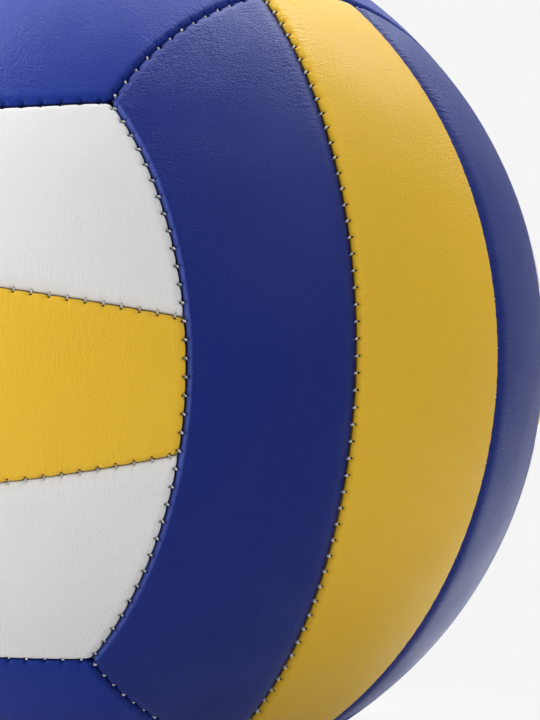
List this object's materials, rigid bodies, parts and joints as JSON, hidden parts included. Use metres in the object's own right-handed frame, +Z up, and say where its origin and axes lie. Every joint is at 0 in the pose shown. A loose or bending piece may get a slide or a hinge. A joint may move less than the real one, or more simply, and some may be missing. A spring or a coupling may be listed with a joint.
{
  "type": "volleyball",
  "caption": "Machine-sewn volleyball: strips of padded skin in white, yellow and blue, turned in and sewn along rolled seams round a rubber bladder with a needle valve.",
  "frame": {"origin": "centre of the ball", "axes": "+Z up; the front face's strips lie across X with its middle at -Y; +Y out through the valve"},
  "size_m": [0.21, 0.2099, 0.21],
  "materials": {
    "white_skin": "semi-matt grained synthetic leather",
    "yellow_skin": "semi-matt grained synthetic leather",
    "blue_skin": "semi-matt grained synthetic leather",
    "foam_pad": "cloth-faced foam",
    "sewing_thread": "waxed polyester thread",
    "bladder_rubber": "matt",
    "valve_rubber": "matt",
    "plug_rubber": "matt",
    "patch_cloth": "plain weave"
  },
  "bodies": {
    "root": {"front_upper_skin": "white_skin", "front_middle_skin": "yellow_skin", "front_lower_skin": "white_skin", "back_upper_skin": "white_skin", "back_middle_skin": "yellow_skin", "back_lower_skin": "white_skin", "right_front_skin": "blue_skin", "right_middle_skin": "yellow_skin", "right_rear_skin": "blue_skin", "left_rear_skin": "blue_skin", "left_middle_skin": "yellow_skin", "left_front_skin": "blue_skin", "top_left_skin": "blue_skin", "top_middle_skin": "yellow_skin", "top_right_skin": "blue_skin", "bottom_right_skin": "blue_skin", "bottom_middle_skin": "yellow_skin", "bottom_left_skin": "blue_skin", "front_upper_pad": "foam_pad", "front_middle_pad": "foam_pad", "front_lower_pad": "foam_pad", "back_upper_pad": "foam_pad", "back_middle_pad": "foam_pad", "back_lower_pad": "foam_pad", "right_front_pad": "foam_pad", "right_middle_pad": "foam_pad", "right_rear_pad": "foam_pad", "left_rear_pad": "foam_pad", "left_middle_pad": "foam_pad", "left_front_pad": "foam_pad", "top_left_pad": "foam_pad", "top_middle_pad": "foam_pad", "top_right_pad": "foam_pad", "bottom_right_pad": "foam_pad", "bottom_middle_pad": "foam_pad", "bottom_left_pad": "foam_pad", "front_strip_threads": "sewing_thread", "back_strip_threads": "sewing_thread", "right_strip_threads": "sewing_thread", "left_strip_threads": "sewing_thread", "top_strip_threads": "sewing_thread", "bottom_strip_threads": "sewing_thread", "front_right_seam_thread": "sewing_thread", "front_left_seam_thread": "sewing_thread", "back_left_seam_thread": "sewing_thread", "back_right_seam_thread": "sewing_thread", "right_top_seam_thread": "sewing_thread", "right_bottom_seam_thread": "sewing_thread", "left_top_seam_thread": "sewing_thread", "left_bottom_seam_thread": "sewing_thread", "top_back_seam_thread": "sewing_thread", "top_front_seam_thread": "sewing_thread", "bottom_back_seam_thread": "sewing_thread", "bottom_front_seam_thread": "sewing_thread", "bladder": "bladder_rubber", "valve_body": "valve_rubber", "valve_plug": "plug_rubber", "valve_patch": "patch_cloth"}
  },
  "joints": []
}
